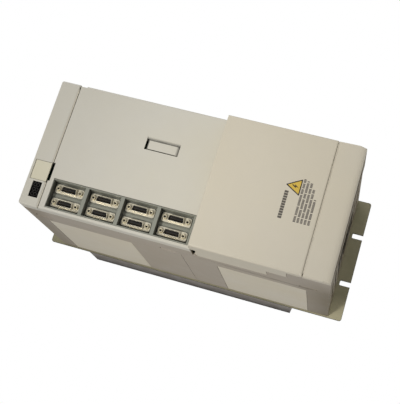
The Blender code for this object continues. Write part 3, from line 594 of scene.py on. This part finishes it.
BAY_LOW, BAY_HIGH = box_mm("connector_bay")
BAY_X = (BAY_LOW[0], BAY_HIGH[0])
BAY_Z = (BAY_LOW[2], BAY_HIGH[2])
BAY_FRONT = BAY_LOW[1]
BAY_BACK = BAY_HIGH[1]
BAY_FLOOR = BAY_BACK - 1.6
BAY_WALL = 1.2
CONNECTORS = [middle_mm(f"connector_shell_{number}") for number in CONNECTOR_NUMBERS]
CONNECTOR_X = (CONNECTORS[0][0], CONNECTORS[1][0])
CONNECTOR_ROWS = [centre[2] for centre in CONNECTORS[::2]]
COMPARTMENT = (-19.6, 17.5)  # lower and upper end, from the middle of the row
FLANGE_FRONT = BAY_FLOOR - 1.7
RIM_FRONT = FLANGE_FRONT - 4.2
FLANGE_HALVES = (5, 16.5)    # half width and half height of a connector flange
JACK_REACH = 12.8            # from the middle of a connector to its jack screws
CONTACT_PITCH = 1.27
CONTACT_ROWS = 10


def build_bay():
    """Tray with a floor, cross walls between the rows and a low rail between the two columns."""
    outline = [(BAY_BACK, BAY_Z[0]), (BAY_FRONT, BAY_Z[0])]
    for z in reversed(CONNECTOR_ROWS):
        low, high = z + COMPARTMENT[0], z + COMPARTMENT[1]
        outline += [(BAY_FRONT, low), (BAY_FLOOR, low), (BAY_FLOOR, high), (BAY_FRONT, high)]
    outline += [(BAY_FRONT, BAY_Z[1]), (BAY_BACK, BAY_Z[1])]
    mesh = bmesh.new()
    add_prism(mesh, outline, "X", BAY_X[0] + 0.2, BAY_X[1] - 0.2)
    for x in (BAY_X[0], BAY_X[1] - BAY_WALL):
        add_box(mesh, (x, BAY_FRONT - 0.05, BAY_Z[0] - 0.05), (x + BAY_WALL, BAY_BACK, BAY_Z[1] + 0.05))
    rail = sum(CONNECTOR_X) / 2
    half_x, half_z = FLANGE_HALVES
    for z in CONNECTOR_ROWS:
        add_box(mesh, (rail - 1.4, BAY_FLOOR - 0.9, z + COMPARTMENT[0] - 1),
                (rail + 1.4, BAY_FLOOR + 0.5, z + COMPARTMENT[1] + 1))
        for x in CONNECTOR_X:
            outer = softened(rectangle(x, z, half_x + 0.6, half_z + 0.6), 1.5)
            inner = softened(rectangle(x, z, half_x + 0.1, half_z + 0.1), 1.2)
            add_tube(mesh, outer, inner, "Y", BAY_FLOOR - 0.35, BAY_FLOOR + 0.3)
    bay = make_piece("bay_tray", mesh, "bay_plastic", bevel=0.25)
    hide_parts("connector_bay")


def shell_outline(inset):
    """Outline of a connector shell, wider on its left side."""
    near, far, long, short = -3.5 + inset, 3.4 - inset, 9.3 - inset, 8.2 - inset
    return softened([(near, -long), (far, -short), (far, short), (near, long)], 1.5 - inset)


def flange_mesh():
    """Flange with the drawn shell of the plug and its spring dimples."""
    mesh = bmesh.new()
    add_prism(mesh, softened(rectangle(0, 0, *FLANGE_HALVES), 2.4), "Y", FLANGE_FRONT, FLANGE_FRONT + 1.4)
    add_tube(mesh, shell_outline(-0.5), shell_outline(0.3), "Y", FLANGE_FRONT - 0.7, FLANGE_FRONT + 0.3)
    add_tube(mesh, shell_outline(0), shell_outline(0.45), "Y", RIM_FRONT, FLANGE_FRONT + 0.3)
    for side in (-1, 1):
        for z in (-5, 0, 5):
            spot = Matrix.Translation((side * 3.42, FLANGE_FRONT - 2.4, z))
            dimple = spot @ Matrix.Diagonal((0.28, 0.7, 0.7, 1))
            bmesh.ops.create_uvsphere(mesh, u_segments=10, v_segments=6, radius=1, matrix=dimple)
    return mesh


def insert_mesh():
    """Black floor inside the shell with the tongue that carries the contacts."""
    mesh = bmesh.new()
    add_prism(mesh, shell_outline(0.35), "Y", FLANGE_FRONT - 0.5, FLANGE_FRONT + 0.2)
    add_box(mesh, (-0.8, RIM_FRONT + 0.7, -7), (0.8, FLANGE_FRONT - 0.3, 7))
    return mesh


def contact_mesh():
    """Two rows of contacts, one on each side of the tongue."""
    mesh = bmesh.new()
    for i in range(CONTACT_ROWS):
        z = CONTACT_PITCH * (i - (CONTACT_ROWS - 1) / 2)
        for near, far in ((-0.95, -0.7), (0.7, 0.95)):
            add_box(mesh, (near, RIM_FRONT + 0.9, z - 0.32), (far, FLANGE_FRONT - 0.4, z + 0.32))
    return mesh


def jack_screw_mesh():
    """Washer, hexagon and thread of both jack screws."""
    mesh = bmesh.new()
    for z in (-JACK_REACH, JACK_REACH):
        middle = (0, z)
        add_tube(mesh, circle(middle, 3), circle(middle, 2), "Y", FLANGE_FRONT - 0.4, FLANGE_FRONT + 0.2)
        add_tube(mesh, hexagon(middle, 4.7), circle(middle, 1.45), "Y",
                 FLANGE_FRONT - 3, FLANGE_FRONT - 0.3)
        for turn in range(5):
            depth = FLANGE_FRONT - 2.7 + 0.5 * turn
            add_tube(mesh, circle(middle, 1.5), circle(middle, 1.25), "Y", depth, depth + 0.2)
    return mesh


def jack_hole_shade_mesh():
    """Black disc at the floor of the hole in each jack screw, painted shade of the deep hole."""
    mesh = bmesh.new()
    for z in (-JACK_REACH, JACK_REACH):
        add_prism(mesh, circle((0, z), 1.5), "Y", FLANGE_FRONT - 0.5, FLANGE_FRONT - 0.2)
    return mesh


CONNECTOR_PARTS = {          # geometry, look, slot and width of the edge rounds
    "flange": (flange_mesh, "plated_steel", "plated_steel", 0.16),
    "body": (insert_mesh, "socket_black", "black_plastic", 0.1),
    "contacts": (contact_mesh, "contact_gold", "plated_steel", 0.05),
    "jack_screws": (jack_screw_mesh, "screw_steel", "plated_steel", 0.18),
    "jack_hole_shade": (jack_hole_shade_mesh, "socket_black", "black_plastic", 0),
}


def build_connectors():
    """Place every part at all connectors; flange and body stand in for the two CAD nodes."""
    stands_for = {"flange": "connector_shell", "body": "connector_insert"}
    shared = {}
    for kind, (build, look, _, _) in CONNECTOR_PARTS.items():
        shared[kind] = mesh_data(f"connector_{kind}", build(), LOOKS[look])
    for number, (x, _, z) in zip(CONNECTOR_NUMBERS, CONNECTORS):
        for kind, (_, _, slot, bevel) in CONNECTOR_PARTS.items():
            piece = place_piece(f"signal_{number}_{kind}", shared[kind], "drive", (x, 0, z), bevel)
            if kind in stands_for:
                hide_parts(f"{stands_for[kind]}_{number}")


build_bay()
build_connectors()


# ------------------------------------------------------------------- print

TERMINAL_FACE = box_mm("terminal_cover")[0][1]
INK = (TERMINAL_FACE - 0.05, TERMINAL_FACE + 0.1)
MARK_X = 14.7
MARK_BASE = 60
HEADING_Z = 73.3
NOTICE_LEFT = -22.5
NOTICE_ENDS = (25.5, 23.5, 22.5, 17, 6)     # right end of every line
NOTICE_TOP = 57.8
NOTICE_PITCH = 3.75


def triangle(centre_x, base_z, half, height):
    """Upright triangle from the middle of its base."""
    return [(centre_x - half, base_z), (centre_x + half, base_z), (centre_x, base_z + height)]


def print_layer(name, outline, look, rise=0.0):
    """One layer of ink on the terminal cover; rise lifts it over the layers below."""
    mesh = bmesh.new()
    add_prism(mesh, outline, "Y", INK[0] - rise, INK[1])
    make_piece(name, mesh, look, "terminal_cover")


def build_warning_mark():
    """Yellow warning triangle with a dark border and a plain flash."""
    border = softened(triangle(MARK_X, MARK_BASE, 9.3, 16.2), 1.2)
    field = softened(triangle(MARK_X, MARK_BASE + 1.1, 7.4, 12.8), 0.9)
    zigzag = [(0.9, 9.2), (-1.9, 4.9), (-0.2, 4.9), (-1.3, 1.6), (1.9, 6.1), (0.3, 6.1), (1.9, 9.2)]
    flash = [(MARK_X + x, MARK_BASE + 0.4 + z) for x, z in zigzag]
    print_layer("warning_border", border, "dark_ink")
    print_layer("warning_field", field, "yellow_ink", 0.03)
    print_layer("warning_flash", flash, "dark_ink", 0.06)


def add_words(mesh, x, end, z, height, glyph, longest):
    """A row of word-like groups of small blocks; it says nothing."""
    while x < end - glyph:
        for _ in range(draws.randint(4, longest)):
            if x < end - glyph:
                add_box(mesh, (x, INK[0], z - height / 2), (x + glyph, INK[1], z + height / 2))
            x += glyph * 1.22
        x += glyph * 0.8


def build_notice():
    """Heading beside the mark and ragged lines below it, as plain blocks."""
    heading = bmesh.new()
    add_words(heading, NOTICE_LEFT + 0.3, 10.6, HEADING_Z, 4, 2.3, 40)
    make_piece("notice_heading", heading, "grey_ink", "terminal_cover")
    lines = bmesh.new()
    for row, end in enumerate(NOTICE_ENDS):
        add_words(lines, NOTICE_LEFT, end, NOTICE_TOP - NOTICE_PITCH * row, 2.5, 1.1, 9)
    make_piece("notice_lines", lines, "faint_ink", "terminal_cover")


build_warning_mark()
build_notice()


# --------------------------------------------------------------- seam lips

def build_seam_lips():
    """Lips on the end strip and the top bezel that close the seams beside the two covers."""
    strip_top = box_mm("end_strip")[1][2]
    mesh = bmesh.new()
    add_box(mesh, (-71.5, TERMINAL_FACE + 1.35, strip_top - 0.6),
            (71.5, TERMINAL_FACE + 8, strip_top + 0.22))
    make_piece("strip_lip", mesh, "terminal_plastic")
    seam = box_mm("front_cover")[1][2] + 0.16
    face = COVER_FACE / MM
    mesh = bmesh.new()
    for left, right in ((-73.8, -44.6), (-20.2, 69.0)):
        add_box(mesh, (left, face + 0.8, seam), (right, face + 1.5, seam + 0.9))
    make_piece("bezel_lip", mesh, "terminal_plastic")


build_seam_lips()


# ----------------------------------------------- screws, terminals and fans

def cross_outline(arm, half):
    """Plus sign with arms of a length and half width, as twelve corners."""
    corners = [(half, half), (half, arm), (-half, arm)]
    points = []
    for _ in range(4):
        points += corners
        corners = [(-z, x) for x, z in corners]
    return points


def edges_round(mesh, ring):
    """Edges of a closed ring of vertices."""
    return [mesh.edges.get((ring[i - 1], ring[i])) for i in range(len(ring))]


def screw_data(name, radius, height):
    """Pan-head cross-recess screw whose seat is at the origin and whose head points along -Y."""
    mesh = bmesh.new()
    profile = [(1, 0), (1, 0.35), (0.93, 0.72), (0.72, 1)]
    loops = [ring_of(mesh, circle((0, 0), r * radius, 20), "Y", -y * height) for r, y in profile]
    for first, second in zip(loops, loops[1:]):
        bridge(mesh, first, second)
    mesh.faces.new(loops[0])
    cross = cross_outline(radius * 0.55, radius * 0.13)
    start = ring_of(mesh, cross, "Y", -height)
    bottom = ring_of(mesh, [(x * 0.6, z * 0.6) for x, z in cross], "Y", -height * 0.45)
    bridge(mesh, start, bottom)
    mesh.faces.new(bottom)
    rims = edges_round(mesh, loops[-1]) + edges_round(mesh, start)
    bmesh.ops.triangle_fill(mesh, use_beauty=True, edges=rims)
    return mesh_data(name, mesh, LOOKS["screw_steel"])


def place_screws(prefix, data, places, turn=(0, 0, 0)):
    """Put one screw at every place, numbered from 1."""
    for number, place in enumerate(places, start=1):
        place_piece(f"{prefix}_{number}", data, "drive", place, turn=turn)


TERMINAL_SEAT = -172.4
SUPPLY_WAYS = [-49.17 + 19.67 * i for i in range(6)]
SUPPLY_Z = middle_mm("terminal_block_supply")[2]
MOTOR_WAYS = [start + 14.75 * i for start in (-55.6, 11.4) for i in range(4)]
MOTOR_Z = middle_mm("terminal_block_motor_left")[2]
TERMINAL_PLATE_REACH = 8     # half the height of a pressure plate
FANS = {side: middle_mm(f"fan_frame_{side}") for side in ("left", "right")}
GUARD_FACE = box_mm("fan_guard")[0][2]
GUARD_SCREW_REACH = 28.2     # from the middle of a fan to its guard screws, both ways
FAN_MOTOR_FACE = GUARD_FACE + 2
PLATE_SCREW_X = (-62, 0, 62)
PLATE_SCREW_Z = (22, 344)
BOARD_FACE = box_mm("control_board")[0][1]


def build_terminals():
    """Pressure plate and screw in every way of the three terminal blocks."""
    plates = bmesh.new()
    places = []
    for ways, z, half in ((SUPPLY_WAYS, SUPPLY_Z, 7.4), (MOTOR_WAYS, MOTOR_Z, 5.2)):
        low, high = z - TERMINAL_PLATE_REACH, z + TERMINAL_PLATE_REACH
        for x in ways:
            add_box(plates, (x - half, TERMINAL_SEAT - 0.9, low), (x + half, TERMINAL_SEAT + 0.2, high))
            add_box(plates, (x - half, TERMINAL_SEAT - 1.6, low), (x + half, TERMINAL_SEAT - 0.5, low + 1))
            places.append((x, TERMINAL_SEAT - 0.8, z))
    make_piece("terminal_plates", plates, "plated_steel", bevel=0.2)
    place_screws("terminal_screw", screw_data("terminal_screw", 3.6, 2.6), places)


def build_fixings():
    """Screws of the mounting plate, the fan guard and the control board."""
    flush = screw_data("flush_screw", 3.8, 0.5)
    places = [(x, -0.4, z) for z in PLATE_SCREW_Z for x in PLATE_SCREW_X]
    place_screws("plate_screw", flush, places, (0, 0, 180))
    small = screw_data("guard_screw", 2.9, 2)
    ways = (-GUARD_SCREW_REACH, GUARD_SCREW_REACH)
    places = [(x + shade_aside, y + deep, GUARD_FACE + 0.1)
              for x, y, _ in FANS.values() for shade_aside in ways for deep in ways]
    place_screws("guard_screw", small, places, (90, 0, 0))
    board = screw_data("board_screw", 2.8, 1.9)
    place_screws("board_screw", board, [(60, BOARD_FACE + 0.1, z) for z in (170, 338)])


def build_fan_labels():
    """Silver label with a printed ring under each fan motor."""
    ink_face = FAN_MOTOR_FACE - 0.18
    for side, (x, y, _) in FANS.items():
        disc = bmesh.new()
        add_prism(disc, circle((x, y), 12.4, 40), "Z", FAN_MOTOR_FACE - 0.12, FAN_MOTOR_FACE + 0.2)
        make_piece(f"fan_label_{side}", disc, "label_silver")
        ring = bmesh.new()
        add_tube(ring, circle((x, y), 11.2, 40), circle((x, y), 10.3, 40), "Z", ink_face, FAN_MOTOR_FACE)
        for row in range(3):
            reach = 6 - row
            level = y + 3.5 * (row - 1)
            add_box(ring, (x - reach, level - 0.7, ink_face), (x + reach, level + 0.7, FAN_MOTOR_FACE))
        make_piece(f"fan_print_{side}", ring, "dark_ink")


build_terminals()
build_fixings()
build_fan_labels()


# ------------------------------------------------------------ control board

LEG_PITCH = 1.5
HEADER_REACH = 11            # half the width of the ribbon cable's header
SMALL_PARTS = 150            # draws; a draw that meets a larger part is skipped
CHIPS = (                    # x, z, width, height
    (4, 303, 28, 28), (42, 305, 20, 20), (6, 262, 24, 14), (46, 268, 14, 24), (-20, 266, 10, 20),
    (-16, 208, 18, 26), (50, 205, 12, 26), (4, 184, 20, 12), (34, 180, 14, 10), (-24, 305, 10, 16),
)
CANS = ((-4, 232), (8, 232), (60, 322), (60, 190), (-26, 180), (36, 240))


def near_a_part(x, z, reach):
    """Whether a place on the board is closer than a reach to a chip or a can."""
    chips = any(abs(x - cx) < w / 2 + reach and abs(z - cz) < h / 2 + reach for cx, cz, w, h in CHIPS)
    cans = any(abs(x - cx) < 4 + reach and abs(z - cz) < 4 + reach for cx, cz in CANS)
    return chips or cans


def add_on_board(mesh, x, z, half_x, half_z, front, back=BOARD_FACE + 0.1):
    """Box round a place on the board, between two depths."""
    add_box(mesh, (x - half_x, front, z - half_z), (x + half_x, back, z + half_z))


def build_chips():
    """Chip bodies, each with a row of legs across it."""
    bodies, legs = bmesh.new(), bmesh.new()
    for x, z, width, height in CHIPS:
        add_on_board(bodies, x, z, width / 2, height / 2, BOARD_FACE - 2.5, BOARD_FACE - 0.3)
        count = int(height / LEG_PITCH)
        for i in range(count):
            level = z + (i - (count - 1) / 2) * LEG_PITCH
            add_on_board(legs, x, level, width / 2 + 1.3, 0.3, BOARD_FACE - 0.7)
    make_piece("board_chips", bodies, "black_plastic", bevel=0.25)
    make_piece("board_chip_legs", legs, "plated_steel")


def build_cans():
    """Small round capacitors: a sleeve with a bare top."""
    tops, sleeves = bmesh.new(), bmesh.new()
    for x, z in CANS:
        add_prism(sleeves, circle((x, z), 4), "Y", BOARD_FACE - 5.2, BOARD_FACE + 0.1)
        add_prism(tops, circle((x, z), 3.6), "Y", BOARD_FACE - 5.5, BOARD_FACE - 4)
    make_piece("board_can_sleeves", sleeves, "can_sleeve", bevel=0.3)
    make_piece("board_can_tops", tops, "plated_steel", bevel=0.2)


def scatter_small_parts():
    """Small resistors and capacitors, strewn over the free area of the board."""
    strewn = {"tan_ceramic": bmesh.new(), "black_plastic": bmesh.new()}
    for _ in range(SMALL_PARTS):
        x, z = draws.uniform(-33, 65), draws.uniform(164, 328)
        upright = draws.random() < 0.5
        look = "tan_ceramic" if draws.random() < 0.6 else "black_plastic"
        halves = (0.7, 1.2) if upright else (1.2, 0.7)
        if not near_a_part(x, z, 2.6):
            add_on_board(strewn[look], x, z, *halves, BOARD_FACE - 0.9)
    for look, mesh in strewn.items():
        make_piece(f"board_{look}_parts", mesh, look)


def build_header():
    """Header that the ribbon cable plugs into."""
    mesh = bmesh.new()
    add_on_board(mesh, 0, 164, HEADER_REACH, 3, BOARD_FACE - 5)
    make_piece("board_header", mesh, "black_plastic", bevel=0.3)


build_chips()
build_cans()
scatter_small_parts()
build_header()


# ------------------------------------------------------ display and switches

SEGMENT_FACE = box_mm("display_window")[0][1]
WINDOW_X, _, WINDOW_Z = middle_mm("display_window")
DIGIT_PITCH = 5.4
SWITCHES = [middle_mm(f"rotary_knob_{side}") for side in ("left", "right")]
SWITCH_FACE = box_mm("rotary_switch_left")[0][1]
DIAL_TICKS = 16
DIAL_RADIUS = 3.7


def build_segments():
    """Three unlit digits of the display, faint bars on the smoked window."""
    bars = [(0, z, 1.2, 0.35) for z in (-3.3, 0, 3.3)]
    bars += [(x, z, 0.35, 1.25) for x in (-1.7, 1.7) for z in (-1.65, 1.65)]
    front, back = SEGMENT_FACE - 0.02, SEGMENT_FACE + 0.1
    mesh = bmesh.new()
    for digit in range(3):
        middle = WINDOW_X + DIGIT_PITCH * (digit - 1)
        for x, z, half_x, half_z in bars:
            add_box(mesh, (middle + x - half_x, front, WINDOW_Z + z - half_z),
                    (middle + x + half_x, back, WINDOW_Z + z + half_z))
    make_piece("display_segments", mesh, "dim_segment")


def build_dial_marks():
    """Ring of ticks round each rotary switch."""
    mesh = bmesh.new()
    for x, _, z in SWITCHES:
        for i in range(DIAL_TICKS):
            turn = 2 * pi * i / DIAL_TICKS
            spot = Vector((x + DIAL_RADIUS * sin(turn), SWITCH_FACE - 0.02, z + DIAL_RADIUS * cos(turn)))
            turned = Matrix.Translation(spot) @ Matrix.Rotation(turn, 4, "Y")
            bmesh.ops.create_cube(mesh, size=1, matrix=turned @ Matrix.Diagonal((0.25, 0.1, 0.9, 1)))
    make_piece("dial_marks", mesh, "white_ink")


build_segments()
build_dial_marks()


# ------------------------------------------------------------------- studio

def add_floor():
    """Round pale floor, small enough to stay out of the camera's view."""
    mesh = bmesh.new()
    bmesh.ops.create_circle(mesh, cap_ends=True, segments=96, radius=FLOOR_RADIUS / MM)
    data = mesh_data("floor", mesh, pale_floor("pale_floor"))
    floor = bpy.data.objects.new("floor", data)
    floor.location = (0, 0, FLOOR_Z)
    bpy.context.scene.collection.objects.link(floor)


def add_light(name, place, target, size, power, colour, cone):
    """Soft round lamp, or with a cone in degrees a soft spot that fades towards its rim."""
    lamp = bpy.data.lights.new(name, "SPOT" if cone else "AREA")
    if cone:
        lamp.spot_size = radians(cone)
        lamp.spot_blend = 1
        lamp.shadow_soft_size = size / 2
    else:
        lamp.shape = "DISK"
        lamp.size = size
    lamp.energy = power
    lamp.color = colour
    holder = bpy.data.objects.new(name, lamp)
    holder.location = place
    holder.rotation_mode = "QUATERNION"
    holder.rotation_quaternion = (Vector(target) - Vector(place)).to_track_quat("-Z", "Y")
    bpy.context.scene.collection.objects.link(holder)


def set_world():
    """White surround to the camera, softer white as light."""
    world = bpy.data.worlds.new("studio")
    bpy.context.scene.world = world
    world.use_nodes = True
    tree = world.node_tree
    backdrop = tree.nodes["Background"]
    backdrop.inputs["Color"].default_value = (1, 1, 1, 1)
    path = tree.nodes.new("ShaderNodeLightPath")
    strength = tree.nodes.new("ShaderNodeMapRange")
    strength.inputs["To Min"].default_value = AMBIENT
    strength.inputs["To Max"].default_value = 1.0
    tree.links.new(path.outputs["Is Camera Ray"], strength.inputs["Value"])
    tree.links.new(strength.outputs["Result"], backdrop.inputs["Strength"])


def add_camera():
    """Camera with its yaw, pitch and roll, in degrees."""
    data = bpy.data.cameras.new("camera")
    data.lens = CAMERA_LENS
    data.sensor_width = 36
    camera = bpy.data.objects.new("camera", data)
    yaw = Matrix.Rotation(-radians(CAMERA_YAW), 4, "Z")
    pitch = Matrix.Rotation(radians(90 + CAMERA_PITCH), 4, "X")
    roll = Matrix.Rotation(-radians(CAMERA_ROLL), 4, "Z")
    camera.matrix_world = Matrix.Translation(CAMERA_PLACE) @ yaw @ pitch @ roll
    bpy.context.scene.collection.objects.link(camera)
    bpy.context.scene.camera = camera


add_floor()
set_world()
for lamp_name, settings in LIGHTS.items():
    add_light(lamp_name, *settings)
add_camera()
bpy.context.scene.view_settings.view_transform = "Standard"
